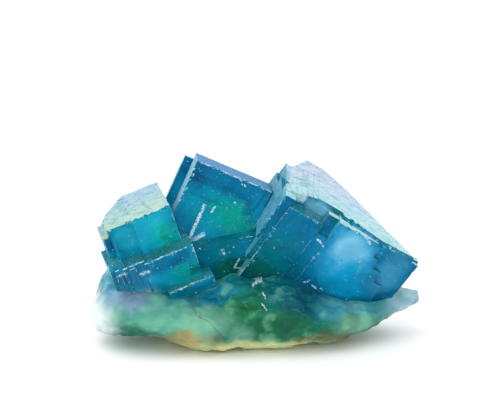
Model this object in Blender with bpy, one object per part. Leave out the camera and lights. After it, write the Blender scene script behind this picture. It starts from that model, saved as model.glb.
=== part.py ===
"""Fluorite: intergrown cubic crystals standing on the broken base that they grew from, as one solid.

Lengths in the constants are millimetres. Each crystal has its own axes: along (to the right), back and up,
from its upper left front corner, and is a union of growth blocks given in those axes.
"""

import math
import random

import bmesh
import bpy
import numpy as np
from mathutils import Matrix, Vector, noise

MM = 0.001

# Crystals: upper left front corner (x, y, z), and turn (roll, pitch, yaw) in degrees.
TALL_CORNER = (-6.7, 0.8, 24.1)
TALL_TURN = (24.2, 0.7, 5.0)
WEDGE_CORNER = (-6.0, 1.1, 18.4)
WEDGE_TURN = (24.2, -3.0, 5.0)
LEFT_CORNER = (-17.9, -3.7, 15.9)
LEFT_TURN = (-15.3, 20.5, 13.7)
RIGHT_CORNER = (5.0, -3.7, 20.9)
RIGHT_TURN = (33.4, 16.1, 10.7)
MIDDLE_CORNER = (-6.6, 0.1, 13.3)
MIDDLE_TURN = (-7.3, 18.1, 1.7)

# Growth blocks of each crystal: (along, back, up) ranges.
TALL_BLOCKS = (
    ((0.0, 10.5), (0.0, 4.5), (-11.0, 0.0)),
    ((-1.2, 8.5), (4.1, 4.8), (-12.0, -0.9)),
    ((-0.7, 9.5), (4.6, 9.6), (-12.0, -3.2)),
    ((1.6, 7.8), (4.6, 11.2), (-13.0, -5.8)),
)
WEDGE_BLOCKS = (((0.0, 7.0), (0.0, 4.0), (-6.0, 0.0)),)
LEFT_BLOCKS = (
    ((-0.9, 0.6), (0.7, 4.0), (-6.5, -1.3)),
    ((-1.6, 0.3), (-1.7, 3.0), (-10.0, -4.3)),
    ((-1.1, -0.4), (-2.1, 1.0), (-7.4, -4.7)),
    ((0.0, 2.9), (-2.0, 3.0), (-11.6, -4.9)),
    ((0.6, 1.6), (-2.3, 1.0), (-8.6, -5.2)),
    ((2.7, 9.4), (-2.2, 4.0), (-10.3, -5.3)),
    ((2.6, 4.6), (-2.15, 4.0), (-12.4, -9.0)),
    ((4.4, 10.6), (-3.2, 4.0), (-14.0, -10.2)),
)
RIGHT_BLOCKS = (
    ((0.0, 1.4), (0.3, 3.1), (-8.0, -0.8)),
    ((0.0, 1.4), (2.9, 6.2), (-8.6, -1.7)),
    ((0.1, 1.4), (6.0, 9.3), (-9.0, -2.9)),
    ((0.45, 1.5), (0.2, 6.0), (-11.3, -7.0)),
    ((0.5, 6.6), (2.2, 9.6), (-14.0, -1.2)),
    ((1.2, 6.2), (0.0, 3.0), (-14.4, -1.9)),
    ((6.0, 8.3), (0.15, 3.0), (-13.6, -3.4)),
    ((6.3, 20.2), (0.9, 1.7), (-9.8, -0.6)),
    ((7.9, 14.4), (-0.05, 3.0), (-12.6, -0.5)),
    ((14.0, 15.3), (-0.05, 3.0), (-12.0, -2.6)),
    ((15.0, 16.6), (-0.05, 3.0), (-11.6, -4.1)),
    ((16.4, 17.9), (-0.05, 3.0), (-11.0, -5.8)),
    ((14.2, 20.3), (0.45, 1.6), (-10.0, -0.9)),
)
MIDDLE_BLOCKS = (((-2.4, 8.0), (0.0, 8.0), (-6.0, 0.0)),)

# Growth layers whose outline isn't a rectangle: outline (along, back), and (low, high).
LEFT_TABLE = (
    ((0.0, 0.0), (8.5, 0.0), (8.6, 6.8), (5.3, 6.7), (3.6, 6.8), (0.6, 3.9), (-0.4, 2.0)),
    (-10.0, 0.0),
)
RIGHT_BODY = (
    ((1.0, 2.4), (19.6, 1.2), (15.2, 3.5), (9.0, 8.9), (3.7, 12.2), (1.2, 8.5)),
    (-12.0, -0.7),
)

# Terraces on the right crystal's top, which leave steps towards its upper left corner. Outline of the
# lowest plate (along, back), and how far each point moves for every millimetre that a plate is set in.
TERRACE_OUTLINE = (
    ((0.7, 1.7), (1.0, 0.14)),
    ((5.1, 2.3), (0.0, 0.0)),
    ((8.1, 2.0), (0.0, 0.0)),
    ((8.3, 1.3), (0.0, 0.0)),
    ((12.2, 0.6), (0.0, 0.0)),
    ((14.1, 0.1), (0.0, 0.0)),
    ((19.1, 0.1), (0.0, 0.0)),
    ((18.9, 0.5), (0.0, 0.0)),
    ((15.4, 3.3), (0.0, 0.0)),
    ((9.2, 8.7), (0.0, 0.0)),
    ((3.6, 12.3), (0.55, -0.35)),
    ((0.9, 7.9), (1.1, 0.2)),
)
TERRACE_COUNT = 6
TERRACE_STEP = 0.72
TERRACE_DROP = 0.11
TERRACE_FOOT = -1.9
# Each plate is a little smaller and deeper than the one below, so that no two faces coincide.
TERRACE_SHRINK = 0.003
TERRACE_SINK = 0.02

# Crystal edges with broken chips: crystal, start and end in its axes, and how many.
CHIPPED_EDGES = (
    ("left", (0.0, 0.0, 0.0), (8.4, 0.0, 0.0), 9),
    ("left", (2.7, -2.2, -5.3), (9.4, -2.2, -5.3), 7),
    ("left", (4.4, -3.2, -10.2), (10.6, -3.2, -10.2), 9),
    ("tall", (0.0, 0.0, 0.0), (10.4, 0.0, 0.0), 8),
    ("tall", (0.0, 0.0, -0.5), (0.0, 0.0, -6.0), 6),
    ("right", (1.2, 0.0, -2.2), (1.2, 0.0, -13.0), 9),
    ("right", (0.0, 0.3, -1.0), (0.0, 0.3, -7.6), 6),
    ("right", (1.3, 0.0, -1.9), (6.1, 0.0, -1.9), 5),
    ("right", (8.0, -0.05, -0.5), (14.3, -0.05, -0.5), 7),
    ("right", (5.1, 2.3, 0.0), (12.2, 0.6, 0.0), 6),
    ("right", (14.6, 0.1, -0.3), (18.6, 0.1, -0.3), 4),
)
CHIP_SMALLEST = 0.28
CHIP_LARGEST = 0.62
CHIP_JITTER = 0.12
# Share of a chip's own stretch of the edge that it may fall in, which keeps neighbours apart.
CHIP_STRETCH = (0.2, 0.8)

# Base: sections along X (x, low, high, front, back).
BASE_SECTIONS = (
    (-20.6, 2.9, 4.6, -0.6, 3.0),
    (-19.9, 1.9, 6.6, -3.0, 6.0),
    (-18.2, 1.4, 9.6, -4.6, 8.5),
    (-15.0, 1.3, 8.6, -5.6, 10.0),
    (-11.0, 0.8, 7.4, -6.2, 10.8),
    (-7.0, -0.6, 7.2, -6.4, 11.2),
    (-2.0, -0.8, 9.0, -6.4, 11.4),
    (4.0, -0.8, 8.8, -6.2, 11.2),
    (9.0, 0.0, 6.8, -5.0, 10.4),
    (13.0, 1.0, 5.2, -3.0, 9.0),
    (16.5, 2.0, 4.8, -0.4, 8.2),
    (19.4, 3.1, 5.9, 1.6, 7.0),
    (22.3, 4.6, 5.7, 3.4, 5.8),
)
BASE_RINGS = 56
BASE_RING_POINTS = 34
# Rings next to each end over which the roughness fades out, so that the end faces stay flat and simple.
BASE_END_RINGS = 6
BASE_LUMP_SIZE = 4.6
BASE_LUMP_HEIGHT = 0.75
BASE_SPALL_SIZE = 3.1
BASE_SPALL_HEIGHT = 1.1
BASE_SPALL_RIM = 0.5
BASE_SPALL_MEAN = 0.2
BASE_GRAIN_SIZE = 1.1
BASE_GRAIN_HEIGHT = 0.22
FLOOR_CUT_SIDE = 60.0

COLOUR = (0.02, 0.30, 0.42, 1.0)
ROUGHNESS = 0.18
SEED = 7


def clear_scene():
    for old in list(bpy.data.objects):
        bpy.data.objects.remove(old)


def add_object(name, data, parent, collection):
    made = bpy.data.objects.new(name, data)
    collection.objects.link(made)
    made.parent = parent
    return made


def hide_helper(helper):
    """Blocks and cutters only feed the Booleans."""
    helper.hide_render = True
    helper.display_type = "WIRE"


def turned(turn):
    """Rotation of a crystal: yaw about its height, then pitch, then roll."""
    roll, pitch, yaw = (math.radians(angle) for angle in turn)
    roll_and_pitch = Matrix.Rotation(roll, 4, "Y") @ Matrix.Rotation(pitch, 4, "X")
    return roll_and_pitch @ Matrix.Rotation(yaw, 4, "Z")


def make_axes(name, corner, turn, root):
    """Empty with a crystal's axes, which carries its blocks."""
    axes = add_object(name, None, root, bpy.context.scene.collection)
    axes.matrix_local = Matrix.Translation(Vector(corner) * MM) @ turned(turn)
    return axes


def make_prism(name, axes, outline, low, high, group):
    """Growth layer: an outline in the crystal's axes, filled from low to high."""
    mesh = bpy.data.meshes.new(name)
    shape = bmesh.new()
    rim = [shape.verts.new((x * MM, y * MM, low * MM)) for x, y in outline]
    face = shape.faces.new(rim)
    grown = bmesh.ops.extrude_face_region(shape, geom=[face])["geom"]
    raised = [part for part in grown if isinstance(part, bmesh.types.BMVert)]
    bmesh.ops.translate(shape, verts=raised, vec=(0.0, 0.0, (high - low) * MM))
    bmesh.ops.recalc_face_normals(shape, faces=shape.faces)
    shape.to_mesh(mesh)
    shape.free()
    hide_helper(add_object(name, mesh, axes, group))


def make_block(name, axes, ranges, group):
    (left, right), (front, back), (low, high) = ranges
    outline = ((left, front), (right, front), (right, back), (left, back))
    make_prism(name, axes, outline, low, high, group)


def make_crystal(name, axes, blocks, layers, group):
    for index, ranges in enumerate(blocks):
        make_block(f"{name}_block_{index}", axes, ranges, group)
    for index, (outline, (low, high)) in enumerate(layers):
        make_prism(f"{name}_layer_{index}", axes, outline, low, high, group)


def make_terraces(axes, group):
    """Plates stacked on the right crystal's top, each higher and set further in than the last."""
    for plate in range(TERRACE_COUNT):
        inset = TERRACE_STEP * plate
        points = [Vector(point) + Vector(slide) * inset for point, slide in TERRACE_OUTLINE]
        middle = sum(points, Vector((0.0, 0.0))) / len(points)
        keep = 1.0 - TERRACE_SHRINK * plate
        outline = [middle + (point - middle) * keep for point in points]
        low = TERRACE_FOOT - TERRACE_SINK * plate
        high = -TERRACE_DROP * (TERRACE_COUNT - 1 - plate)
        make_prism(f"terrace_{plate}", axes, outline, low, high, group)


def make_chips(crystals, rng, cuts):
    """Small cubes, turned at random, that bite into the crystals' edges."""
    for index, (name, start, end, count) in enumerate(CHIPPED_EDGES):
        for number in range(count):
            side = rng.uniform(CHIP_SMALLEST, CHIP_LARGEST)
            share = (number + rng.uniform(*CHIP_STRETCH)) / count
            place = Vector(start).lerp(Vector(end), share)
            jitter = Vector([rng.uniform(-CHIP_JITTER, CHIP_JITTER) for _ in range(3)])
            mesh = bpy.data.meshes.new(f"chip_{index}_{number}")
            shape = bmesh.new()
            bmesh.ops.create_cube(shape, size=side * MM)
            shape.to_mesh(mesh)
            shape.free()
            chip = add_object(mesh.name, mesh, crystals[name], cuts)
            chip.location = (place + jitter) * MM
            chip.rotation_euler = [rng.uniform(0.0, math.pi) for _ in range(3)]
            hide_helper(chip)


def base_point(along, angle):
    """Point of the base's skin before it is roughened, from its share along and its angle around."""
    sections = np.array(BASE_SECTIONS)
    stations = np.linspace(0.0, 1.0, len(sections))
    x, low, high, front, back = (np.interp(along, stations, column) for column in sections.T)
    y = (front + back) / 2 + (back - front) / 2 * math.cos(angle)
    z = (low + high) / 2 + (high - low) / 2 * math.sin(angle)
    return Vector((x, y, z))


def broken_height(point):
    """How far a fracture surface stands out: smooth lumps, shell-like spalls with sharp rims, and grain."""
    lumps = noise.noise(point / BASE_LUMP_SIZE)
    nearest, second = noise.voronoi(point / BASE_SPALL_SIZE)[0][:2]
    spalls = min(second - nearest, BASE_SPALL_RIM) - BASE_SPALL_MEAN
    grain = noise.noise(point / BASE_GRAIN_SIZE)
    return lumps * BASE_LUMP_HEIGHT - spalls * BASE_SPALL_HEIGHT + grain * BASE_GRAIN_HEIGHT


def make_base(root):
    """Broken base: rings around the X axis joined into one closed, roughened skin."""
    mesh = bpy.data.meshes.new("fluorite_cluster")
    shape = bmesh.new()
    rings = []
    for ring in range(BASE_RINGS):
        along = ring / (BASE_RINGS - 1)
        angles = [2 * math.pi * step / BASE_RING_POINTS for step in range(BASE_RING_POINTS)]
        points = [base_point(along, angle) for angle in angles]
        centre = sum(points, Vector()) / len(points)
        fade = min(1.0, min(ring, BASE_RINGS - 1 - ring) / BASE_END_RINGS)
        heights = [broken_height(point) * fade for point in points]
        moved = [
            point + (point - centre).normalized() * height for point, height in zip(points, heights)
        ]
        rings.append([shape.verts.new(point * MM) for point in moved])
    for near, far in zip(rings, rings[1:]):
        for step in range(BASE_RING_POINTS):
            after = (step + 1) % BASE_RING_POINTS
            shape.faces.new((near[step], near[after], far[after], far[step]))
    shape.faces.new(rings[0])
    shape.faces.new(rings[-1])
    bmesh.ops.triangulate(shape, faces=shape.faces)
    bmesh.ops.recalc_face_normals(shape, faces=shape.faces)
    shape.to_mesh(mesh)
    shape.free()
    return add_object("fluorite_cluster", mesh, root, bpy.context.scene.collection)


def make_floor_cut(root, cuts):
    """Everything below the plane that the specimen rests on."""
    half = FLOOR_CUT_SIDE / 2
    make_block("floor_cut", root, ((-half, half), (-half, half), (-half, 0.0)), cuts)


def boolean(target, name, operation, solver, collection):
    modifier = target.modifiers.new(name, "BOOLEAN")
    modifier.operation = operation
    modifier.solver = solver
    modifier.operand_type = "COLLECTION"
    modifier.collection = collection
    return modifier


def new_group(name):
    group = bpy.data.collections.new(name)
    bpy.context.scene.collection.children.link(group)
    return group


def make_material():
    material = bpy.data.materials.new("fluorite")
    material.use_nodes = True
    surface = material.node_tree.nodes["Principled BSDF"]
    surface.inputs["Base Color"].default_value = COLOUR
    surface.inputs["Roughness"].default_value = ROUGHNESS
    surface.inputs["Metallic"].default_value = 0.0
    return material


def centre_on_origin(root, cluster):
    """Moves the whole so that the origin is under the middle of its box, on the resting plane."""
    bpy.context.view_layer.update()
    solid = cluster.evaluated_get(bpy.context.evaluated_depsgraph_get())
    corners = [solid.matrix_world @ vertex.co for vertex in solid.data.vertices]
    xs = [corner.x for corner in corners]
    ys = [corner.y for corner in corners]
    root.location = (-(min(xs) + max(xs)) / 2, -(min(ys) + max(ys)) / 2, 0.0)


def main():
    clear_scene()
    rng = random.Random(SEED)
    growth = new_group("growth_blocks")
    cuts = new_group("cuts")
    root = add_object("fluorite_frame", None, None, bpy.context.scene.collection)
    crystals = {
        "tall": make_axes("tall_axes", TALL_CORNER, TALL_TURN, root),
        "wedge": make_axes("wedge_axes", WEDGE_CORNER, WEDGE_TURN, root),
        "left": make_axes("left_axes", LEFT_CORNER, LEFT_TURN, root),
        "right": make_axes("right_axes", RIGHT_CORNER, RIGHT_TURN, root),
        "middle": make_axes("middle_axes", MIDDLE_CORNER, MIDDLE_TURN, root),
    }
    make_crystal("tall", crystals["tall"], TALL_BLOCKS, (), growth)
    make_crystal("wedge", crystals["wedge"], WEDGE_BLOCKS, (), growth)
    make_crystal("left", crystals["left"], LEFT_BLOCKS, (LEFT_TABLE,), growth)
    make_crystal("right", crystals["right"], RIGHT_BLOCKS, (RIGHT_BODY,), growth)
    make_crystal("middle", crystals["middle"], MIDDLE_BLOCKS, (), growth)
    make_terraces(crystals["right"], growth)
    make_chips(crystals, rng, cuts)
    make_floor_cut(root, cuts)
    cluster = make_base(root)
    cluster.data.materials.append(make_material())
    boolean(cluster, "grown_together", "UNION", "EXACT", growth).use_self = True
    # The exact solver leaves open edges where chips meet the terraces' thin steps.
    boolean(cluster, "broken_and_cut", "DIFFERENCE", "MANIFOLD", cuts)
    centre_on_origin(root, cluster)


main()
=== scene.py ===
"""Fluorite cluster: the finished look of the specimen, and the studio around it."""

import math
import random

import bmesh
import bpy
import numpy as np
from bpy.props import FloatProperty, FloatVectorProperty, IntProperty, PointerProperty
from mathutils import Euler, Matrix, Vector, noise
from mathutils.kdtree import KDTree


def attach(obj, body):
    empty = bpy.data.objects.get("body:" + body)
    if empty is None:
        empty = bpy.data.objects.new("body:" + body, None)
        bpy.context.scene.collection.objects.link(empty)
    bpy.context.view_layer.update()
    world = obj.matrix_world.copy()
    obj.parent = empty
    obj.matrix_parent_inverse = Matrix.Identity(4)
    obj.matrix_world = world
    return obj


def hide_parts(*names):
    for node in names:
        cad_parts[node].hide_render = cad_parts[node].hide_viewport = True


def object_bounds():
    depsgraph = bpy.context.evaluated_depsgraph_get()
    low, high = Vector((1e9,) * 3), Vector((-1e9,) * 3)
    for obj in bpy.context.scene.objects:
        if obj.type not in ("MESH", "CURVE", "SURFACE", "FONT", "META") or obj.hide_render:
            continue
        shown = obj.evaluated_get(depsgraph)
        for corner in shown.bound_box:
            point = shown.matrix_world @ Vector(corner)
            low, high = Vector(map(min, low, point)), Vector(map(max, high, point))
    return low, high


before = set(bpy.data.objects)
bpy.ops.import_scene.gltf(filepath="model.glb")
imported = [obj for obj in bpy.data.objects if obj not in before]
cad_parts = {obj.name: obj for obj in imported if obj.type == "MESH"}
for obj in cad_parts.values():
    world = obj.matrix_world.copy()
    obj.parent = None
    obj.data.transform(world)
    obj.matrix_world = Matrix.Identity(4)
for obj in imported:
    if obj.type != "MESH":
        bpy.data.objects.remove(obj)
CAD_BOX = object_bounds()

bl_info = {
    "name": "Fluorite cluster",
    "version": (1, 0, 0),
    "blender": (4, 5, 0),
    "location": "3D View > Sidebar > Fluorite",
    "description": "Finishes the fluorite cluster and sets the studio around it",
    "category": "Object",
}

MM = 0.001
NODE = "fluorite_cluster"
SEED = 11

# Each crystal: upper left front corner in mm, and turn (roll, pitch, yaw) in degrees. Its own axes run
# along (to the right), back and up from that corner.
CRYSTALS = {
    "tall": ((-7.55, -2.16, 24.1), (24.2, 0.7, 5.0)),
    "wedge": ((-6.85, -1.86, 18.4), (24.2, -3.0, 5.0)),
    "left": ((-18.75, -6.66, 15.9), (-15.3, 20.5, 13.7)),
    "right": ((4.15, -6.66, 20.9), (33.4, 16.1, 10.7)),
    "middle": ((-7.45, -2.86, 13.3), (-7.3, 18.1, 1.7)),
}
# Face attribute "crystal": the base's skin, one of the crystals, or a broken chip.
BASE, BROKEN = 0, 9
CRYSTAL_NUMBER = {name: number for number, name in enumerate(CRYSTALS, start=1)}
# Face attribute "side": the crystal's side, for each of its axes first the low and then the high one.
LEFT, RIGHT, FRONT, BACK, BOTTOM, TOP = range(6)
SIDES = ((LEFT, RIGHT), (FRONT, BACK), (BOTTOM, TOP))
# Cosine above which a face counts as a side of a crystal, and above which it may lie on a cleavage plane.
SAME_DIRECTION = 0.99995
NEAR_DIRECTION = 0.95
# Farthest that the middle of a face lies from the cleavage plane that it is part of, in mm.
ON_PLANE = 0.01
# The base doesn't reach above the first height and a cleavage plane doesn't reach below the second, in mm.
HIGHEST_BASE = 9.6
LOWEST_CLEAVAGE = 3.0
# None of the base's own faces is larger than this, and a flat one that is larger is a cleaved crystal.
LARGEST_BASE_MM2 = 3.0
# A patch of faces turned no crystal's way is a chip up to this size, and a hollow in its crystal above it.
CHIP_PATCH_MM2 = 1.5
# Share of each crystal's edges that is worn, and how freely its edges and sides are chipped.
EDGE_WEAR = {"tall": 0.6, "wedge": 0.06, "left": 0.35, "right": 0.3, "middle": 0.1}
# Least angle between two sides for the edge between them to be worn and chipped.
SHARP_EDGE = math.radians(80)
# Frosted terraces of the right crystal, from this far back and up on its axes, in mm; their edges stay whole.
TERRACES = (1.9, -1.1)
# Growth lines of the frosted tops: crystal, their spacing in mm, and how far they run across it.
GROWTH_LINES = (("right", 1.3, 0.85), ("left", 0.8, 0.5))
# Longest edge of the frosted tops' mesh, in mm, and the lowest that they reach down.
TOP_GRAIN = 0.7
LOWEST_TOP = 10.0
# Rounds that soften the base's large facets, and how far from their rims the base's broken skin and the
# tops' growth lines are at their full height, in mm.
SOFTENING_ROUNDS = 4
SKIN_FADE = 1.2
TOP_FADE = 0.5
# Most times that an edge is halved, and the angle from which a base edge looks sharp.
MOST_HALVINGS = 6
SHARP_LOOK = math.radians(35)
# The studio, in metres and watts.
FLOOR_HALF_SIDE = 3.0
KEY_LIGHT = {"size": (0.3, 0.3), "energy": 0.5, "place": (-0.25, -0.1, 0.35), "aim": (0.0, 0.0, 0.01)}
SENSOR_MM = 36.0
CLIP_START = 0.005


def srgb(code):
    """Linear colour from a hex code such as 0x02769C."""
    shares = [((code >> shift) & 255) / 255 for shift in (16, 8, 0)]
    return [share / 12.92 if share <= 0.04045 else ((share + 0.055) / 1.055) ** 2.4 for share in shares]


# Inks of the crystals and the base: deep, bright, green, frosted and white ones, then the stains.
INKS = {
    name: srgb(code)
    for name, code in {
        "night": 0x0B3F52, "midnight": 0x006896, "block": 0x0A6880, "dark_teal": 0x007A8C,
        "deep_blue": 0x0078A4, "sea_blue": 0x0590BC, "bright_blue": 0x069CCC, "teal": 0x0094B4,
        "cyan": 0x0CA6CC, "aqua": 0x1CBEDC, "slate": 0x3F98C4, "haze_rim": 0x36A4D6,
        "sky": 0x58BCD8, "soft_highlight": 0x7CC4E4, "haze": 0x9FDCF2, "periwinkle": 0xA4BCDC,
        "bottle": 0x066C5E, "ledge_shade": 0x0B7074, "leaf": 0x128A68, "moss": 0x2A7A4A,
        "fern": 0x2A8848, "green_glow": 0x00A294, "jade": 0x0AC4B0, "sea_green": 0x74CCB4,
        "mint": 0x96E4BE, "pale_mint": 0x86C8A4, "lime_frost": 0xB4CBB2, "frost": 0xB4DAD8,
        "strip": 0x3F93AE, "strip_low": 0x4283A3, "strip_pale": 0x7FB9C8, "cornflower": 0x4F82B8,
        "lavender": 0xC6D0DE, "lavender_dim": 0xA8BCCC, "ice": 0xBCDCE8, "shade": 0xB4D4DC,
        "lilac_white": 0xF0F6FA, "snow": 0xF4FAFC, "lit_olive": 0xFBF4B0, "rust": 0xD8BC78,
        "bronze": 0x86804A, "blood": 0x8C3A22,
    }.items()
}

# Fluorite's index of refraction, and how strong and which colour the reflections on it are.
REFRACTION = 1.434
SHEEN_LEVEL = 0.1
SHEEN = (0.15, 0.6, 0.9, 1.0)

# The frosted tops' pale inks are partly frost and partly a painted sheen of the light from above.
# Frosted tops: crystal, ink along the front edge, ink farther back, and how far back it is full, in mm.
FROSTED_TOPS = (("left", "lime_frost", "lavender_dim", 6.5), ("right", "frost", "lavender", 9.0))
# Pale left sides, frost with a painted sheen: crystal, its two inks, and how well the frost covers it.
LEFT_SIDES = (
    ("right", "strip", "strip_pale", 0.85), ("tall", "ice", "cornflower", 0.85),
    ("wedge", "ice", "strip", 0.9), ("left", "strip", "ice", 0.75),
)

# The worn lines and scratches are painted pale as highlights along edges and ridges.
# Worn lines and scratches: crystal, start and end on its axes, and half width, in mm. Those of "any" are
# on the object's axes, and run through whatever is in front there.
WORN_AND_HIGHLIT_LINES = (
    ("tall", (0.3, 0.0, 0.0), (11.9, 0.0, 0.0), 0.22),
    ("wedge", (0.2, 0.0, -0.1), (0.2, 0.0, -5.2), 0.34),
    ("wedge", (0.7, 0.0, -5.0), (1.6, 0.0, -3.7), 0.4),
    ("left", (2.7, -2.2, -5.3), (9.4, -2.2, -5.3), 0.16),
    ("left", (0.0, -2.0, -4.9), (2.9, -2.0, -4.9), 0.16),
    ("left", (9.4, -2.2, -5.3), (9.4, -2.2, -8.2), 0.11),
    ("left", (4.4, -3.2, -10.2), (10.4, -3.2, -10.2), 0.16),
    ("right", (0.0, 0.3, -0.8), (0.0, 3.1, -0.8), 0.14),
    ("any", (-0.5, 0.0, 8.4), (0.6, 0.0, 8.7), 0.16),
    ("any", (0.8, 0.0, 7.8), (1.1, 0.0, 7.4), 0.12),
    ("any", (0.6, 0.0, 6.8), (1.3, 0.0, 6.2), 0.1),
    ("any", (6.2, 0.0, 8.0), (6.9, 0.0, 8.3), 0.16),
    ("any", (7.2, 0.0, 7.6), (7.7, 0.0, 7.1), 0.16),
    ("any", (8.2, 0.0, 7.1), (8.7, 0.0, 6.9), 0.12),
    ("any", (-2.2, 0.0, 11.1), (-2.9, 0.0, 9.8), 0.13),
    ("any", (-2.9, 0.0, 9.75), (-2.0, 0.0, 9.7), 0.15),
    ("any", (-4.4, 0.0, 12.4), (-4.2, 0.0, 11.8), 0.26),
    ("any", (-5.8, 0.0, 17.3), (-5.4, 0.0, 17.9), 0.2),
    ("any", (-2.8, 0.0, 18.5), (-2.7, 0.0, 18.3), 0.2),
    ("any", (-1.8, 0.0, 20.9), (-1.4, 0.0, 20.5), 0.16),
    ("any", (7.8, 0.0, 14.2), (8.5, 0.0, 13.3), 0.2),
    ("any", (13.8, 0.0, 14.8), (14.5, 0.0, 13.6), 0.24),
    ("any", (-17.5, 0.0, 10.0), (-16.6, 0.0, 10.3), 0.32),
    ("any", (-14.7, 0.0, 10.0), (-13.8, 0.0, 10.3), 0.36),
)
# Rusty veins in the base: start and end on the object's axes, and their half width, in mm.
VEIN_HALF_WIDTH = 0.1
VEINS = (
    ((-9.6, 0.0, 7.6), (-7.4, 0.0, 5.3)), ((-7.4, 0.0, 5.3), (-5.9, 0.0, 4.7)),
    ((-5.9, 0.0, 4.7), (-4.1, 0.0, 2.9)), ((7.0, 0.0, 8.5), (8.1, 0.0, 7.6)),
)

# Milky cloud inside the right crystal, under pale inks that paint a soft highlight: centre and radii on its
# axes, in mm.
HIGHLIGHT_VEIL = ((11.6, -0.1, -3.8), (4.4, 3.0, 7.2))

# Soft clouds of colour inside the crystals and the base: the ground ink, then each cloud's ink, centre
# and radii, in mm, on the crystal's own axes. The base's are on the object's axes.
CLOUDS = {
    "base": ("leaf", (
        ("deep_blue", (0.0, 0.0, 20.0), (70.0, 70.0, 11.5)),
        ("dark_teal", (3.0, -3.0, 10.0), (13.0, 20.0, 4.6)),
        ("fern", (-2.6, -7.0, 6.4), (5.5, 20.0, 3.4)),
        ("block", (6.4, -4.0, 6.6), (6.6, 12.0, 2.6)),
        ("moss", (2.6, -8.0, 4.0), (6.0, 20.0, 2.8)),
        ("teal", (-10.0, -8.0, 9.4), (12.0, 20.0, 4.6)),
        ("mint", (-7.5, -9.0, 4.6), (6.5, 20.0, 2.6)),
        ("sea_green", (-13.5, -8.0, 5.6), (6.5, 20.0, 3.2)),
        ("lilac_white", (-21.5, -6.0, 4.0), (5.6, 20.0, 4.6)),
        ("periwinkle", (-16.5, -8.0, 7.6), (5.0, 20.0, 2.4)),
        ("sea_blue", (-8.6, -8.0, 8.2), (8.0, 20.0, 2.3)),
        ("strip", (-19.5, -6.0, 9.8), (4.4, 20.0, 3.4)),
        ("pale_mint", (-2.1, -8.8, 2.6), (2.8, 8.0, 2.8)),
        ("moss", (0.9, -8.0, 3.0), (1.6, 8.0, 2.2)),
        ("ice", (20.5, -2.0, 4.6), (6.5, 20.0, 3.4)),
        ("sky", (13.0, -5.0, 5.4), (6.5, 20.0, 2.8)),
        ("pale_mint", (12.5, -6.0, 3.4), (5.0, 20.0, 1.8)),
        # Olive stain along the foot, in an ink paler than the stain: painted light from below.
        ("lit_olive", (-1.0, -7.0, 0.0), (20.0, 20.0, 2.8)),
        ("rust", (-9.0, -8.0, 2.0), (5.6, 20.0, 2.2)),
        ("bronze", (9.0, -6.0, 1.6), (6.4, 20.0, 1.6)),
    )),
    "tall": ("deep_blue", (
        ("teal", (4.2, 0.0, -5.6), (7.0, 99.0, 4.6)),
        ("green_glow", (7.2, 0.0, -6.0), (6.0, 99.0, 4.2)),
        ("midnight", (0.6, 0.0, -1.4), (2.2, 99.0, 3.4)),
        ("sea_blue", (10.6, 0.0, -2.0), (3.0, 99.0, 3.6)),
    )),
    "wedge": ("teal", (
        ("green_glow", (5.6, 0.0, -0.6), (6.0, 99.0, 3.2)),
        ("bottle", (6.0, 0.0, -5.6), (8.0, 99.0, 2.8)),
    )),
    "left": ("cyan", (
        ("aqua", (3.0, 0.0, -1.8), (5.6, 99.0, 3.2)),
        ("jade", (6.9, 0.0, -4.0), (3.6, 99.0, 2.6)),
        ("midnight", (-0.4, 0.0, -1.6), (1.7, 99.0, 4.0)),
        ("bottle", (4.5, -1.2, -5.1), (9.0, 1.2, 0.7)),
        ("deep_blue", (6.0, -2.2, -6.4), (4.5, 2.0, 2.2)),
        ("green_glow", (7.4, -2.4, -9.0), (3.4, 3.0, 2.2)),
        ("haze_rim", (0.2, -2.0, -8.0), (4.0, 3.0, 4.4)),
        ("ice", (0.5, -2.2, -10.6), (4.2, 4.0, 2.6)),
    )),
    "right": ("deep_blue", (
        ("dark_teal", (3.6, 0.0, -9.4), (6.0, 99.0, 5.0)),
        ("bottle", (2.6, 0.0, -12.0), (5.0, 99.0, 2.6)),
        ("bright_blue", (9.5, -0.1, -3.2), (4.4, 99.0, 6.4)),
        # A milky veil in pale inks: painted soft highlight.
        ("haze_rim", (11.6, -0.1, -3.8), (4.6, 3.0, 7.0)),
        ("soft_highlight", (10.9, -0.1, -2.7), (2.8, 3.0, 3.6)),
        ("soft_highlight", (12.4, -0.1, -4.9), (2.6, 3.0, 4.6)),
        # Dark band just under the top edge: painted shade.
        ("bottle", (11.0, 2.2, -1.1), (12.0, 2.2, 1.6)),
        ("haze", (5.0, 2.3, -1.2), (2.3, 3.0, 2.2)),
        ("bright_blue", (13.4, 0.0, -7.6), (4.6, 99.0, 5.2)),
        ("slate", (17.6, 0.3, -3.6), (2.6, 3.0, 5.6)),
    )),
    "middle": ("dark_teal", (
        ("sea_blue", (6.6, 0.0, -2.2), (3.2, 99.0, 3.0)),
        ("bottle", (4.0, 0.0, -4.4), (5.0, 99.0, 2.2)),
    )),
}


def turned(turn):
    """Rotation of a crystal: yaw about its height, then pitch, then roll."""
    roll, pitch, yaw = (math.radians(angle) for angle in turn)
    roll_and_pitch = Matrix.Rotation(roll, 3, "Y") @ Matrix.Rotation(pitch, 3, "X")
    return roll_and_pitch @ Matrix.Rotation(yaw, 3, "Z")


# ---------------------------------------------------------------- shader maths


class Socket:
    """Output of a shader node; Python's operators on it add the maths nodes."""

    def __init__(self, graph, output):
        self.graph = graph
        self.output = output

    def __add__(self, other):
        return self.graph.maths("ADD", self, other)

    __radd__ = __add__

    def __sub__(self, other):
        return self.graph.maths("SUBTRACT", self, other)

    def __rsub__(self, other):
        return self.graph.maths("SUBTRACT", other, self)

    def __mul__(self, other):
        return self.graph.maths("MULTIPLY", self, other)

    __rmul__ = __mul__


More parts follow.
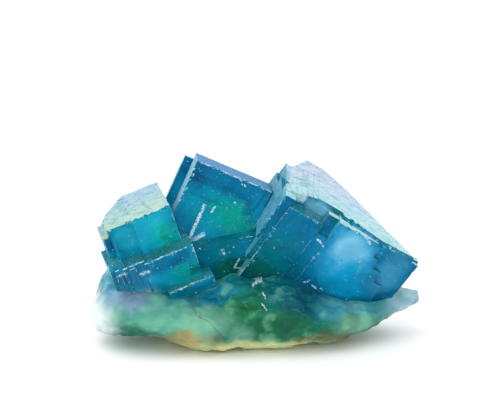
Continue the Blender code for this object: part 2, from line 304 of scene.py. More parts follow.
class Graph:
    """Node tree of one material."""

    def __init__(self, material):
        material.use_nodes = True
        self.tree = material.node_tree
        self.tree.nodes.clear()

    def node(self, kind, settings=None, inputs=None):
        """Adds a node: settings are set first, then each input gets its value or link."""
        made = self.tree.nodes.new(kind)
        for name, value in (settings or {}).items():
            setattr(made, name, value)
        for name, value in (inputs or {}).items():
            if isinstance(value, Socket):
                self.tree.links.new(value.output, made.inputs[name])
            else:
                made.inputs[name].default_value = value
        return made

    def output(self, kind, settings=None, inputs=None, name=0):
        return Socket(self, self.node(kind, settings, inputs).outputs[name])

    def maths(self, operation, *values):
        return self.output("ShaderNodeMath", {"operation": operation}, dict(enumerate(values)))

    def smooth(self, value, low, high):
        """0 below low and 1 above high, with a soft step between; high may be the lower of the two."""
        inputs = {"Value": value, "From Min": low, "From Max": high}
        return self.output("ShaderNodeMapRange", {"interpolation_type": "SMOOTHSTEP"}, inputs, "Result")

    def band(self, value, centre, half_width):
        """1 at centre, falling to 0 at half_width from it."""
        return self.smooth(self.maths("ABSOLUTE", value - centre), half_width, 0.0)

    def mix(self, factor, first, second, blend="MIX"):
        """Colours are the names of inks or other nodes' colours."""
        first, second = (INKS[ink] + [1] if isinstance(ink, str) else ink for ink in (first, second))
        inputs = {"Factor": factor, 6: first, 7: second}
        return self.output("ShaderNodeMix", {"data_type": "RGBA", "blend_type": blend}, inputs, 2)

    def vector(self, operation, *values, name=0):
        return self.output("ShaderNodeVectorMath", {"operation": operation}, dict(enumerate(values)), name)

    def noise(self, vector, scale, detail=3.0, result="Fac"):
        """Soft noise; the scale is in waves per unit of the vector."""
        inputs = {"Vector": vector, "Scale": scale, "Detail": detail}
        return self.output("ShaderNodeTexNoise", None, inputs, result)

    def stretched(self, vector, scales, detail=3.0):
        """Noise with its own scale along each axis."""
        return self.noise(self.vector("MULTIPLY", vector, scales), 1.0, detail)

    def dots(self, vector, scale, radius, share):
        """Small round dots, on a share of the cells."""
        cells = self.node("ShaderNodeTexVoronoi", None, {"Vector": vector, "Scale": scale})
        distance, colour = (Socket(self, cells.outputs[name]) for name in ("Distance", "Color"))
        split = self.node("ShaderNodeSeparateColor", None, {"Color": colour})
        lot = Socket(self, split.outputs["Red"])
        reach = radius * (0.4 + 0.6 * Socket(self, split.outputs["Green"]))
        return self.maths("LESS_THAN", distance, reach) * self.maths("LESS_THAN", lot, share)

    def spot(self, vector, centre, radii):
        """Soft round cloud: 1 inside, 0 beyond the radii."""
        scales = [1.0 / radius for radius in radii]
        shift = [-value * scale for value, scale in zip(centre, scales)]
        scaled = self.vector("MULTIPLY_ADD", vector, scales, shift)
        return self.smooth(self.vector("LENGTH", scaled, name="Value"), 1.0, 0.3)

    def line(self, vector, start, end, half_width):
        """1 on the line from start to end, falling to 0 at half_width beside it."""
        start, end = Vector(start), Vector(end)
        run = end - start
        offset = self.vector("SUBTRACT", vector, start)
        share = self.vector("DOT_PRODUCT", offset, run / run.length_squared, name="Value")
        share = self.output("ShaderNodeClamp", None, {"Value": share})
        nearest = self.node("ShaderNodeVectorMath", {"operation": "SCALE"}, {0: run, "Scale": share})
        gap = self.vector("DISTANCE", offset, Socket(self, nearest.outputs[0]), name="Value")
        return self.smooth(gap, half_width, half_width * 0.4)

    def equal(self, value, number):
        return self.output("ShaderNodeMath", {"operation": "COMPARE"}, {0: value, 1: number, 2: 0.5})

    def most(self, *values):
        made = values[0]
        for value in values[1:]:
            made = self.maths("MAXIMUM", made, value)
        return made

    def face_value(self, name):
        return self.output("ShaderNodeAttribute", {"attribute_name": name}, None, "Fac")

    def split(self, vector):
        made = self.node("ShaderNodeSeparateXYZ", None, {"Vector": vector})
        return [Socket(self, made.outputs[axis]) for axis in "XYZ"]

    def shifted(self, place, scale, reach):
        """The place moved by soft noise, so that what is painted there has no straight edge."""
        shift = self.vector("SUBTRACT", self.noise(place, scale, 2.0, "Color"), (0.5, 0.5, 0.5))
        return self.vector("MULTIPLY_ADD", shift, (reach, reach, reach), place)

    def axes_of(self, crystal, place):
        """A crystal's own (along, back, up), in mm, from a place in mm."""
        corner, turn = CRYSTALS[crystal]
        inputs = {"Vector": place, "Location": corner, "Rotation": turned(turn).to_euler()}
        return self.output("ShaderNodeMapping", {"vector_type": "TEXTURE"}, inputs)


# ---------------------------------------------------------------- settings


class FluoriteClusterSettings(bpy.types.PropertyGroup):
    """Sizes and colours of the specimen."""

    clearness: FloatProperty(
        name="Clearness", description="Share of light that the clear parts let through", default=0.9,
        min=0.0, max=1.0, subtype="FACTOR",
    )
    absorption: FloatProperty(
        name="Absorption", description="How fast the crystal takes up light, per metre", default=60.0, min=0.0
    )
    absorption_colour: FloatVectorProperty(
        name="Absorption colour", description="Colour that the crystal lets through", subtype="COLOR",
        default=(0.25, 0.75, 0.85), min=0.0, max=1.0,
    )
    chip_size: FloatProperty(
        name="Chip size", description="Side of the largest chips along the edges", default=0.62 * MM,
        unit="LENGTH", precision=6,
    )
    chip_spacing: FloatProperty(
        name="Chip spacing", description="Mean gap between chips along an edge", default=2.2 * MM,
        unit="LENGTH", precision=6,
    )
    wear_width: FloatProperty(
        name="Edge wear", description="Greatest width of the worn stretches of an edge", default=0.13 * MM,
        unit="LENGTH", precision=6,
    )
    wear_run: FloatProperty(
        name="Wear length", description="Longest worn stretch of an edge", default=2.8 * MM,
        unit="LENGTH", precision=6,
    )
    wear_gap: FloatProperty(
        name="Wear gap", description="Mean gap between worn stretches", default=0.25 * MM,
        unit="LENGTH", precision=6,
    )
    pit_size: FloatProperty(
        name="Pit size", description="Side of the largest growth pits", default=0.24 * MM,
        unit="LENGTH", precision=6,
    )
    pit_count: IntProperty(name="Pits", description="How many growth pits to scatter", default=900, min=0)
    base_grain: FloatProperty(
        name="Base grain", description="Longest edge of the base's fine surface", default=0.38 * MM,
        unit="LENGTH", precision=6,
    )
    fracture_depth: FloatProperty(
        name="Fracture depth", description="Height of the base's broken shells", default=0.55 * MM,
        unit="LENGTH", precision=6,
    )
    terrace_height: FloatProperty(
        name="Terrace height", description="Height of the growth lines on the frosted tops",
        default=0.16 * MM, unit="LENGTH", precision=6,
    )


class FluoriteStageSettings(bpy.types.PropertyGroup):
    """Floor, light and camera."""

    floor_colour: FloatVectorProperty(
        name="Floor colour", description="Colour of the floor", subtype="COLOR",
        default=(0.9, 0.9, 0.9), min=0.0, max=1.0,
    )
    world_strength: FloatProperty(
        name="Surroundings", description="Brightness of the white surroundings", default=1.25, min=0.0
    )
    camera_distance: FloatProperty(
        name="Camera distance", description="From the camera to the point that it looks at",
        default=0.17736, unit="LENGTH",
    )
    camera_elevation: FloatProperty(
        name="Camera elevation", description="Angle at which the camera looks down",
        default=math.radians(12.0), unit="ROTATION",
    )
    camera_lens: FloatProperty(name="Lens", description="Focal length", default=100.0, unit="CAMERA")
    camera_aim: FloatVectorProperty(
        name="Camera aim", description="Point that the camera looks at", unit="LENGTH",
        default=(-0.85 * MM, -2.96 * MM, 18.9 * MM),
    )


# ---------------------------------------------------------------- the crystals' shape


def welded_copy(node):
    """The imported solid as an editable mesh, its corners joined."""
    shape = bmesh.new()
    shape.from_mesh(node.data)
    bmesh.ops.remove_doubles(shape, verts=shape.verts, dist=1e-7)
    return shape


def label_faces(shape, rng):
    """Writes which crystal and which side of it each face is, or that it is the base or a broken chip."""
    layers = shape.faces.layers.float
    crystal, side, glint = (layers.new(name) for name in ("crystal", "side", "glint"))
    turns = [(CRYSTAL_NUMBER[name], turned(turn).transposed()) for name, (_, turn) in CRYSTALS.items()]
    shape.normal_update()
    for face in shape.faces:
        face[crystal] = BROKEN
        # A random value per face, which picks the chip faces that are painted pale as glints.
        face[glint] = rng.random()
        for number, to_own in turns:
            own = to_own @ face.normal
            axis = max(range(3), key=lambda index: abs(own[index]))
            if abs(own[axis]) > SAME_DIRECTION:
                face[crystal] = number
                face[side] = SIDES[axis][own[axis] > 0]
    lowest = min(shape.faces, key=lambda face: face.calc_center_median().z)
    for patch in patches([face for face in shape.faces if face[crystal] == BROKEN]):
        kind = BROKEN
        if lowest in patch:
            kind = BASE
        elif sum(face.calc_area() for face in patch) > CHIP_PATCH_MM2 * MM * MM:
            around = [other[crystal] for face in patch for edge in face.edges for other in edge.link_faces]
            around = [number for number in around if number not in (BASE, BROKEN)]
            kind = max(set(around), key=around.count)
        planes = cleavage_planes(patch)
        for face in patch:
            face[crystal] = kind
            face[side] = FRONT
            if kind == BASE and is_cleaved(face, planes):
                face[crystal] = CRYSTAL_NUMBER["left" if face.calc_center_median().x < 0.0 else "right"]


def cleavage_planes(patch):
    """Normal and distance from the origin of each face that is too large to be one of the base's own."""
    large = [face for face in patch if face.calc_area() > LARGEST_BASE_MM2 * MM * MM]
    return [(face.normal, face.normal.dot(face.calc_center_median())) for face in large]


def is_cleaved(face, planes):
    """Whether a face that runs on from the base is part of a crystal, on a cleavage plane or in a hollow."""
    middle = face.calc_center_median()
    on_plane = middle.z > LOWEST_CLEAVAGE * MM and any(
        face.normal.dot(normal) > NEAR_DIRECTION and abs(middle.dot(normal) - distance) < ON_PLANE * MM
        for normal, distance in planes)
    return on_plane or middle.z > HIGHEST_BASE * MM


def patches(faces):
    """Groups of faces that are joined by their edges."""
    loose = set(faces)
    while loose:
        patch, front = [], [loose.pop()]
        while front:
            face = front.pop()
            patch.append(face)
            near = {other for edge in face.edges for other in edge.link_faces} & loose
            loose -= near
            front.extend(near)
        yield patch


def convex_edges(shape):
    """Right-angled outer edges between two sides of one crystal: their ends and the crystal's name."""
    crystal = shape.faces.layers.float["crystal"]
    names = {number: name for name, number in CRYSTAL_NUMBER.items()}
    for edge in shape.edges:
        if len(edge.link_faces) != 2 or not edge.is_convex:
            continue
        first, second = (face[crystal] for face in edge.link_faces)
        if first != second or first not in names or edge.calc_face_angle() < SHARP_EDGE:
            continue
        ends = sorted((point.co.copy() for point in edge.verts), key=tuple)
        corner, turn = CRYSTALS[names[first]]
        _, back, up = turned(turn).transposed() @ (sum(ends, Vector()) / 2 / MM - Vector(corner))
        if names[first] != "right" or back < TERRACES[0] or up < TERRACES[1]:
            yield ends[0], ends[1], names[first]


def add_cube(shape, centre, turn, size):
    """Block of the given sides, in mm, at a point in metres."""
    place = Matrix.Translation(centre) @ turn.to_4x4() @ Matrix.Diagonal(Vector(size) * MM).to_4x4()
    bmesh.ops.create_cube(shape, size=1.0, matrix=place)


def wear_edges(shape, settings, rng):
    """Thin bars laid corner-wise along the crystals' edges, in stretches of uneven length and width."""
    cutter = bmesh.new()
    for start, end, name in convex_edges(shape):
        length = (end - start).length / MM
        along = (end - start).normalized()
        own = turned(CRYSTALS[name][1])
        to_own = own.transposed() @ along
        axis = max(range(3), key=lambda index: abs(to_own[index]))
        turn = own @ Matrix.Rotation(math.radians(45), 3, "XYZ"[axis])
        reach = 0.12
        while reach < length - 0.3:
            run = min(rng.uniform(0.25, 1.0) ** 2 * settings.wear_run / MM, length - 0.12 - reach)
            width = rng.uniform(0.35, 1.0) * settings.wear_width / MM
            size = [width, width, width]
            size[axis] = run
            tilt = Euler([rng.uniform(-0.02, 0.02) for _ in range(3)]).to_matrix()
            if rng.random() < EDGE_WEAR[name]:
                add_cube(cutter, start + along * (reach + run / 2) * MM, tilt @ turn, size)
            reach += run + 0.06 + rng.expovariate(1.0) * settings.wear_gap / MM
    return cutter


def chip_edges(shape, settings, rng):
    """Small cubes at random turns along the crystals' edges."""
    cutter = bmesh.new()
    taken = []
    for start, end, name in convex_edges(shape):
        length = (end - start).length / MM
        reach = rng.uniform(0.0, 1.0) * settings.chip_spacing / MM
        while reach < length - 0.1:
            size = (0.25 + 0.75 * rng.random() ** 3) * settings.chip_size / MM
            centre = start.lerp(end, reach / length)
            least = 0.25 - 0.5 * EDGE_WEAR[name]
            wanted = centre.z > 4 * MM and noise.noise(centre / (3.0 * MM)) > least
            if wanted and is_free(taken, centre, size * 0.95):
                turn = Euler([rng.uniform(0, math.pi) for _ in range(3)]).to_matrix()
                sides = [size * rng.uniform(0.6, 1.5), size, size * rng.uniform(0.5, 1)]
                add_cube(cutter, centre, turn, sides)
            reach += size * 0.8 + settings.chip_spacing / MM * rng.expovariate(1.0)
    return cutter


def is_free(taken, centre, radius):
    """Keeps the place and says yes, unless it is too near a place that is taken; radius in mm."""
    if any((centre - other).length < (radius + reach) * MM for other, reach in taken):
        return False
    taken.append((centre, radius))
    return True


def pit_faces(shape, settings, rng):
    """Small pits and dents scattered over the crystals' sides."""
    crystal = shape.faces.layers.float["crystal"]
    cutter = bmesh.new()
    turns = {CRYSTAL_NUMBER[name]: turned(turn) for name, (_, turn) in CRYSTALS.items()}
    faces = [face for face in shape.faces if face[crystal] in turns]
    areas = [face.calc_area() for face in faces]
    taken = []
    for face in rng.choices(faces, areas, k=settings.pit_count):
        shares = sorted((rng.random(), rng.random()))
        shares = (shares[0], shares[1] - shares[0], 1 - shares[1])
        centre = sum((loop.vert.co * share for loop, share in zip(face.loops, shares)), Vector())
        size = (0.3 + 0.7 * rng.random() ** 3) * settings.pit_size / MM
        crowd = noise.noise(centre / (2.6 * MM)) + 0.5 * noise.noise(centre / (0.9 * MM))
        if crowd > 0.0 and is_free(taken, centre, size * 1.1):
            tilt = Euler([rng.uniform(-0.35, 0.35) for _ in range(3)]).to_matrix()
            sides = [size * rng.uniform(0.6, 1.0), size * 0.7, size * rng.uniform(0.7, 1.5)]
            add_cube(cutter, centre, turns[face[crystal]] @ tilt, sides)
    return cutter


def carve(piece, cutter, rng):
    """Takes the cutter's blocks out of the piece; the sides of the dents are labelled as broken."""
    layers = cutter.faces.layers.float
    crystal, glint = layers.new("crystal"), layers.new("glint")
    for face in cutter.faces:
        face[crystal] = BROKEN
        # A random value per face, which picks the chip faces that are painted pale as glints.
        face[glint] = rng.random()
    bmesh.ops.recalc_face_normals(cutter, faces=cutter.faces)
    tool = finish_mesh(cutter, "cutter")
    modifier = piece.modifiers.new("carve", "BOOLEAN")
    modifier.operation = "DIFFERENCE"
    modifier.solver = "MANIFOLD"
    modifier.object = tool
    bpy.context.view_layer.update()
    carved = bpy.data.meshes.new_from_object(piece.evaluated_get(bpy.context.evaluated_depsgraph_get()))
    piece.modifiers.clear()
    plain, piece.data = piece.data, carved
    bpy.data.meshes.remove(plain)
    bpy.data.meshes.remove(tool.data)


def refine(shape, wanted, longest):
    """Splits the long edges of the wanted faces until none is longer than it should be."""
    bmesh.ops.triangulate(shape, faces=[face for face in shape.faces if wanted(face)])
    for _ in range(MOST_HALVINGS):
        edges = [
            edge for edge in shape.edges
            if edge.calc_length() > longest and any(wanted(face) for face in edge.link_faces)
        ]
        if not edges:
            return
        bmesh.ops.subdivide_edges(shape, edges=edges, cuts=1, use_single_edge=True, use_grid_fill=True)
        many = [face for face in shape.faces if wanted(face) and len(face.verts) > 3]
        # The short diagonal never runs along an edge that was just halved, which would fold the mesh there.
        bmesh.ops.triangulate(shape, faces=many, quad_method="SHORT_EDGE")


def inner_points(shape, wanted):
    """Points that only wanted faces meet at, each with its distance from the edge of their area."""
    inner, rim = [], []
    for point in shape.verts:
        kinds = {wanted(face) for face in point.link_faces}
        if kinds == {True}:
            inner.append(point)
        elif True in kinds:
            rim.append(point)
    if not rim:
        return [(point, 1.0) for point in inner]
    tree = KDTree(len(rim))
    for index, point in enumerate(rim):
        tree.insert(point.co, index)
    tree.balance()
    return [(point, tree.find(point.co)[2]) for point in inner]


def fracture(point, depth):
    """Height of the base's broken skin: shell-like spalls with sharp rims, and grain."""
    spread = point / MM
    bent = spread + 0.5 * noise.noise_vector(spread / 2.1)
    nearest, second = noise.voronoi(Vector((bent.x / 3.4, bent.y / 2.6, bent.z / 2.2)))[0][:2]
    rims = min(second - nearest, 0.6)
    small = noise.voronoi(bent / 1.1)[0]
    grain = 0.3 * min(small[1] - small[0], 0.5) + 0.15 * noise.noise(spread / 0.6)
    return depth * (-0.9 * rims + grain + 0.35)


def break_base(shape, settings):
    """Gives the base its fine broken surface; the foot that it rests on stays flat."""
    crystal = shape.faces.layers.float["crystal"]

    def is_base(face):
        return face[crystal] == BASE and face.normal.z > -0.999

    refine(shape, is_base, settings.base_grain)
    points = inner_points(shape, is_base)
    for _ in range(SOFTENING_ROUNDS):
        means = [
            sum((edge.other_vert(point).co for edge in point.link_edges), Vector()) / len(point.link_edges)
            for point, _ in points
        ]
        for (point, _), mean in zip(points, means):
            point.co = point.co.lerp(mean, 0.5)
    shape.normal_update()
    low, high = (Vector(corner) for corner in CAD_BOX)
    moved = []
    for point, distance in points:
        fade = min(1.0, distance / (SKIN_FADE * MM))
        target = point.co + point.normal * fracture(point.co, settings.fracture_depth) * fade
        moved.append(Vector(min(max(value, least), most) for value, least, most in zip(target, low, high)))
    for (point, _), place in zip(points, moved):
        point.co = place


def terrace_tops(shape, settings):
    """Raises wavy growth lines on the frosted tops of the left and right crystals."""
    crystal = shape.faces.layers.float["crystal"]
    side = shape.faces.layers.float["side"]
    for name, spacing, across in GROWTH_LINES:
        number = CRYSTAL_NUMBER[name]
        corner, turn = CRYSTALS[name]
        to_own = turned(turn)
        up = to_own @ Vector((0, 0, 1))

        def is_top(face):
            high = face.calc_center_median().z > LOWEST_TOP * MM
            return face[crystal] == number and face[side] == TOP and high

        refine(shape, is_top, TOP_GRAIN * MM)
        for point, distance in inner_points(shape, is_top):
            own = to_own.transposed() @ (point.co / MM - Vector(corner))
            wave = own.y * across + own.x * (1 - across) * 0.6 + 0.9 * noise.noise(own / 2.2)
            share = (wave / spacing) % 1.0
            height = (1.0 - share) * 0.6 + 0.5 * noise.noise(own / 0.6)
            fade = min(1.0, distance / (TOP_FADE * MM))
            point.co -= up * settings.terrace_height * fade * height


def finish_mesh(shape, name):
    mesh = bpy.data.meshes.new(name)
    shape.to_mesh(mesh)
    shape.free()
    piece = bpy.data.objects.new(name, mesh)
    bpy.context.scene.collection.objects.link(piece)
    return piece


# ---------------------------------------------------------------- the crystals' finish


def clouded(graph, place, name):
    """The body colour of a crystal or of the base."""
    ground, clouds = CLOUDS[name]
    colour = ground
    for ink, centre, radii in clouds:
        colour = graph.mix(graph.spot(place, centre, radii), colour, ink)
    return colour


def body_colour(graph, bent, cloud, is_crystal):
    """The base's clouds of colour, and each crystal's own on its faces."""
    colour = clouded(graph, bent, "base")
    colour = graph.mix(graph.smooth(cloud, 0.52, 0.66) * 0.4, colour, "mint")
    for name, mask in is_crystal.items():
        colour = graph.mix(mask, colour, clouded(graph, graph.axes_of(name, bent), name))
    return colour


def frosted_sheen_top(graph, own, near, far, reach):
    """Paint of a frosted top, pale with a painted sheen of the light from above: streaks along its front edge
    and contour lines toward its left.
    """
    along, back, _ = graph.split(own)
    streaks = graph.stretched(own, (0.5, 3.0, 1.0), 4.0)
    paint = graph.mix(graph.smooth(back + 5.0 * (streaks - 0.5), 0.4, reach), near, far)
    paint = graph.mix(graph.smooth(streaks, 0.6, 0.36) * 0.4, paint, "teal")
    contour = graph.maths("FRACT", 7.0 * graph.stretched(own, (0.22, 0.4, 1.0), 2.0))
    contour = graph.band(contour, 0.5, 0.12) * graph.smooth(along, 14.0, 3.0)
    return graph.mix(contour * 0.45, paint, "strip")


def frost_sheen_and_shade(graph, own, is_crystal, side, grain, patchy):
    """How frosted each side is, from 0 to 1, and its colour, with painted sheen and painted shade in it."""
    top, left = graph.equal(side, TOP), graph.equal(side, LEFT)
    frost, colour = 0.0, "ice"
    for name, near, far, reach in FROSTED_TOPS:
        along, back, up = graph.split(own[name])
        high = graph.smooth(up, -1.7, -1.3)
        # The tops, and near the top and back also the steps' risers, get the pale frost paint with its
        # painted sheen; on the risers it paints over their shade.
        steps = graph.smooth(along, 3.2, 2.8) * graph.smooth(back, 0.5, 0.7)
        upper = graph.most(graph.smooth(back, 2.9, 3.1), steps)
        mask = is_crystal[name] * graph.most(top, upper) * high
        frost = graph.most(frost, mask * 0.96)
        colour = graph.mix(mask, colour, frosted_sheen_top(graph, own[name], near, far, reach))
        # Ledges farther down: painted shade, a dark ink, with a pale grain.
        low = is_crystal[name] * top * (1.0 - high)
        frost = graph.most(frost, low * 0.8)
        colour = graph.mix(low, colour, graph.mix(graph.smooth(grain, 0.52, 0.64) * 0.3, "ledge_shade", "haze"))
    # Left sides: frost with a painted sheen.
    for name, ink, other, cover in LEFT_SIDES:
        mask = is_crystal[name] * left
        if name == "tall":
            cover = cover * graph.smooth(graph.split(own[name])[2], -8.0, -5.0)
        frost = graph.most(frost, mask * cover * (0.7 + 0.3 * graph.smooth(patchy, 0.34, 0.6)))
        colour = graph.mix(mask, colour, graph.mix(graph.smooth(grain, 0.4, 0.65), ink, other))
    mask = is_crystal["tall"] * top
    frost = graph.most(frost, mask * 0.95)
    along = graph.split(own["tall"])[0]
    paint = graph.mix(graph.smooth(along, 3.0, 11.0), "cornflower", "strip_low")
    return frost, graph.mix(mask, colour, paint)


def drawn_lines(graph, place, ragged, own, is_crystal):
    """Masks of the worn lines with their painted highlights, and of the veins."""
    flat = graph.vector("MULTIPLY", ragged, (1.0, 0.0, 1.0))
    places = {**own, "any": flat}
    masks = {**is_crystal, "any": graph.smooth(graph.split(place)[1], 1.5, 0.5)}
    worn_and_highlit, vein = 0.0, 0.0
    for name, start, end, half_width in WORN_AND_HIGHLIT_LINES:
        worn_and_highlit = graph.most(worn_and_highlit, graph.line(places[name], start, end, half_width) * masks[name])
    for start, end in VEINS:
        vein = graph.most(vein, graph.line(flat, start, end, VEIN_HALF_WIDTH))
    return worn_and_highlit * graph.smooth(graph.noise(place, 5.0, 4.0), 0.36, 0.52), vein


def fluorite_shader(graph, colour, rough, bump, clearness):
    """The clear or, with no clearness, the cloudy part of the crystal."""
    inputs = {
        "Base Color": colour, "Roughness": rough, "IOR": REFRACTION, "Specular IOR Level": SHEEN_LEVEL,
        "Specular Tint": SHEEN, "Transmission Weight": clearness, "Normal": bump,
    }
    return graph.output("ShaderNodeBsdfPrincipled", None, inputs, "BSDF")


def fluorite_material(settings):
    """Clear fluorite with its clouds, frost, chips, specks, worn lines and veins, and painted sheen, shade,
    highlights and glints; places are in mm.
    """
    material = bpy.data.materials.new("fluorite")
    graph = Graph(material)
    place = graph.vector("SCALE", graph.output("ShaderNodeTexCoord", None, None, "Object"))
    place.output.node.inputs["Scale"].default_value = 1.0 / MM
    crystal, side, glint = (graph.face_value(name) for name in ("crystal", "side", "glint"))
    broken, is_base = graph.equal(crystal, BROKEN), graph.equal(crystal, BASE)
    is_crystal = {name: graph.equal(crystal, number) for name, number in CRYSTAL_NUMBER.items()}
    cloud, patchy, grain = (
        graph.noise(place, scale, detail) for scale, detail in ((0.34, 3.0), (1.6, 4.0), (7.0, 3.0)))
    bent, ragged = graph.shifted(place, 0.4, 2.6), graph.shifted(place, 2.4, 0.35)
    own = {name: graph.axes_of(name, ragged) for name in CRYSTALS}
    frost, frost_sheen_and_shade_colour = frost_sheen_and_shade(graph, own, is_crystal, side, grain, patchy)
    worn_and_highlit, vein = drawn_lines(graph, place, ragged, own, is_crystal)

    colour = body_colour(graph, bent, cloud, is_crystal)
    colour = graph.mix(graph.smooth(cloud, 0.62, 0.34) * 0.5, colour, "shade", "MULTIPLY")
    colour = graph.mix(frost, colour, frost_sheen_and_shade_colour)
    # Chips, dents and worn edges: painted glints, pale ice on faces with a high glint value and teal on the
    # rest.
    colour = graph.mix(broken, colour, graph.mix(graph.smooth(glint, 0.4, 1.0), "teal", "ice"))
    # Pale patches of the haze ink where two noises are both high.
    pale_patches = graph.smooth(graph.noise(place, 11.0, 2.0), 0.56, 0.7) * graph.smooth(patchy, 0.4, 0.62)
    colour = graph.mix(pale_patches * 0.2, colour, "haze")
    # Painted glints: white specks and sparkles where light catches tiny growth steps, fewer on the base.
    glint_specks = graph.dots(ragged, 1.9, 0.17, 0.35) * graph.smooth(patchy, 0.45, 0.6) * (1.0 - is_base)
    sparkle = graph.dots(ragged, 4.4, 0.24, 0.5) * graph.smooth(patchy, 0.5, 0.6) * (1.0 - 0.6 * is_base)
    colour = graph.mix(graph.most(glint_specks * 0.7, sparkle * 0.6), colour, "snow")
    colour = graph.mix(graph.dots(ragged, 2.7, 0.2, 0.2) * 0.5, colour, "night")
    # Worn lines and scratches in pale ice: painted highlights.
    colour = graph.mix(worn_and_highlit * 0.85, colour, "ice")
    crack = graph.output(
        "ShaderNodeTexVoronoi", {"feature": "DISTANCE_TO_EDGE"},
        {"Vector": graph.vector("MULTIPLY", bent, (0.16, 0.2, 0.3)), "Scale": 1.0}, "Distance")
    crack = graph.smooth(crack, 0.02, 0.0) * graph.smooth(patchy, 0.4, 0.6) * is_base
    colour = graph.mix(crack * 0.35, colour, "pale_mint")
    colour = graph.mix(vein * is_base * graph.smooth(patchy, 0.36, 0.55) * 0.55, colour, "blood")

    # The milky share, which keeps the painted light and shade opaque: the veil, the frost, chips and marks,
    # and the base with its white end and its foot.
    bent_x, _, bent_z = graph.split(bent)
    highlight_veil = graph.spot(graph.axes_of("right", bent), *HIGHLIGHT_VEIL) * is_crystal["right"]
    haze = graph.most(
        highlight_veil * 0.85, 0.4 + 0.5 * (cloud - 0.5), frost, broken * 0.75, glint_specks, worn_and_highlit,
        is_base * (0.38 + 0.5 * (patchy - 0.5)),
        is_base * graph.most(graph.smooth(bent_x, -15.0, -19.0), graph.smooth(bent_z, 3.0, 1.0)) * 0.85)
    relief = grain * (0.15 + 0.85 * frost) + patchy * 0.5
    bump = graph.output(
        "ShaderNodeBump", None, {"Height": relief, "Strength": 0.5, "Distance": 0.12 * MM}, "Normal")
    rough = 0.12 + 0.45 * graph.most(frost, broken * 0.6, is_base * 0.35)
    clear, cloudy = (
        fluorite_shader(graph, colour, rough, bump, clearness) for clearness in (settings.clearness, 0.0))
    mixed = graph.output("ShaderNodeMixShader", None, {0: haze, 1: clear, 2: cloudy})
    absorption = graph.output(
        "ShaderNodeVolumeAbsorption", None,
        {"Color": list(settings.absorption_colour) + [1.0], "Density": settings.absorption})
    graph.node("ShaderNodeOutputMaterial", None, {"Surface": mixed, "Volume": absorption})
    return material


class FLUORITE_OT_cluster(bpy.types.Operator):
    """Build the finished crystal cluster over its solid"""

    bl_idname = "fluorite.cluster"
    bl_label = "Crystal cluster"

    def execute(self, context):
        settings = context.scene.fluorite_cluster
        rng = random.Random(SEED)
        # Without a seed, the noise vectors would differ from run to run.
        noise.seed_set(SEED)
        shape = welded_copy(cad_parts[NODE])
        label_faces(shape, rng)
        cutters = [make(shape, settings, rng) for make in (wear_edges, chip_edges, pit_faces)]
        piece = finish_mesh(shape, "crystal_cluster")
        piece.data.attributes.remove(piece.data.attributes["custom_normal"])
        for cutter in cutters:
            carve(piece, cutter, rng)
        shape = bmesh.new()
        shape.from_mesh(piece.data)
        break_base(shape, settings)
        terrace_tops(shape, settings)
        shape.to_mesh(piece.data)
        shape.free()
        kinds = np.zeros(len(piece.data.polygons), np.float32)
        piece.data.attributes["crystal"].data.foreach_get("value", kinds)
        piece.data.polygons.foreach_set("use_smooth", kinds == BASE)
        piece.data.set_sharp_from_angle(angle=SHARP_LOOK)
        piece.data.materials.clear()
        piece.data.materials.append(fluorite_material(settings))
        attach(piece, "root")
        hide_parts(NODE)
        return {"FINISHED"}


# ---------------------------------------------------------------- the studio


def add_light(name, size, energy, place, aim):
    light = bpy.data.lights.new(name, "AREA")
    light.shape = "RECTANGLE"
    light.size, light.size_y = size
    light.energy = energy
    holder = bpy.data.objects.new(name, light)
    holder.location = place
    holder.rotation_euler = (Vector(aim) - Vector(place)).to_track_quat("-Z", "Y").to_euler()
    bpy.context.scene.collection.objects.link(holder)


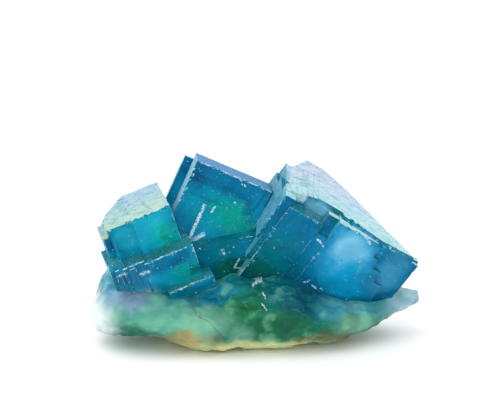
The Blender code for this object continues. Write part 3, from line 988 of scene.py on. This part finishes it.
class FLUORITE_OT_stage(bpy.types.Operator):
    """Set the floor, the light and the camera"""

    bl_idname = "fluorite.stage"
    bl_label = "Studio"

    def execute(self, context):
        settings = context.scene.fluorite_stage
        scene = context.scene
        shape = bmesh.new()
        bmesh.ops.create_grid(shape, x_segments=1, y_segments=1, size=FLOOR_HALF_SIDE)
        mesh = bpy.data.meshes.new("floor")
        shape.to_mesh(mesh)
        shape.free()
        floor = bpy.data.objects.new("floor", mesh)
        scene.collection.objects.link(floor)
        material = bpy.data.materials.new("floor_paint")
        graph = Graph(material)
        paint = graph.output(
            "ShaderNodeBsdfPrincipled", None,
            {"Base Color": list(settings.floor_colour) + [1], "Roughness": 0.8}, "BSDF")
        graph.node("ShaderNodeOutputMaterial", None, {"Surface": paint})
        mesh.materials.append(material)
        world = bpy.data.worlds.new("studio")
        world.use_nodes = True
        background = world.node_tree.nodes["Background"]
        background.inputs["Color"].default_value = (1, 1, 1, 1)
        background.inputs["Strength"].default_value = settings.world_strength
        scene.world = world
        add_light("key", **KEY_LIGHT)
        scene.view_settings.view_transform = "Standard"
        camera_data = bpy.data.cameras.new("camera")
        camera_data.lens = settings.camera_lens
        camera_data.sensor_width = SENSOR_MM
        camera_data.clip_start = CLIP_START
        camera = bpy.data.objects.new("camera", camera_data)
        tilt = settings.camera_elevation
        forward = Vector((0.0, math.cos(tilt), -math.sin(tilt)))
        camera.location = Vector(settings.camera_aim) - forward * settings.camera_distance
        camera.rotation_euler = (math.pi / 2 - tilt, 0.0, 0.0)
        scene.collection.objects.link(camera)
        scene.camera = camera
        return {"FINISHED"}


class FLUORITE_PT_panel(bpy.types.Panel):
    """Sidebar panel with the specimen's and the studio's settings"""

    bl_idname = "FLUORITE_PT_panel"
    bl_label = "Fluorite"
    bl_space_type = "VIEW_3D"
    bl_region_type = "UI"
    bl_category = "Fluorite"

    def draw(self, context):
        groups = (("fluorite_cluster", "fluorite.cluster"), ("fluorite_stage", "fluorite.stage"))
        for group, operator in groups:
            box = self.layout.box()
            settings = getattr(context.scene, group)
            for name in settings.bl_rna.properties.keys():
                if name not in ("rna_type", "name"):
                    box.prop(settings, name)
            box.operator(operator)


CLASSES = (
    FluoriteClusterSettings,
    FluoriteStageSettings,
    FLUORITE_OT_cluster,
    FLUORITE_OT_stage,
    FLUORITE_PT_panel,
)


def register():
    for item in CLASSES:
        bpy.utils.register_class(item)
    bpy.types.Scene.fluorite_cluster = PointerProperty(type=FluoriteClusterSettings)
    bpy.types.Scene.fluorite_stage = PointerProperty(type=FluoriteStageSettings)


def unregister():
    del bpy.types.Scene.fluorite_stage
    del bpy.types.Scene.fluorite_cluster
    for item in reversed(CLASSES):
        bpy.utils.unregister_class(item)


def main():
    register()
    bpy.ops.fluorite.cluster()
    bpy.ops.fluorite.stage()


if __name__ == "__main__":
    main()
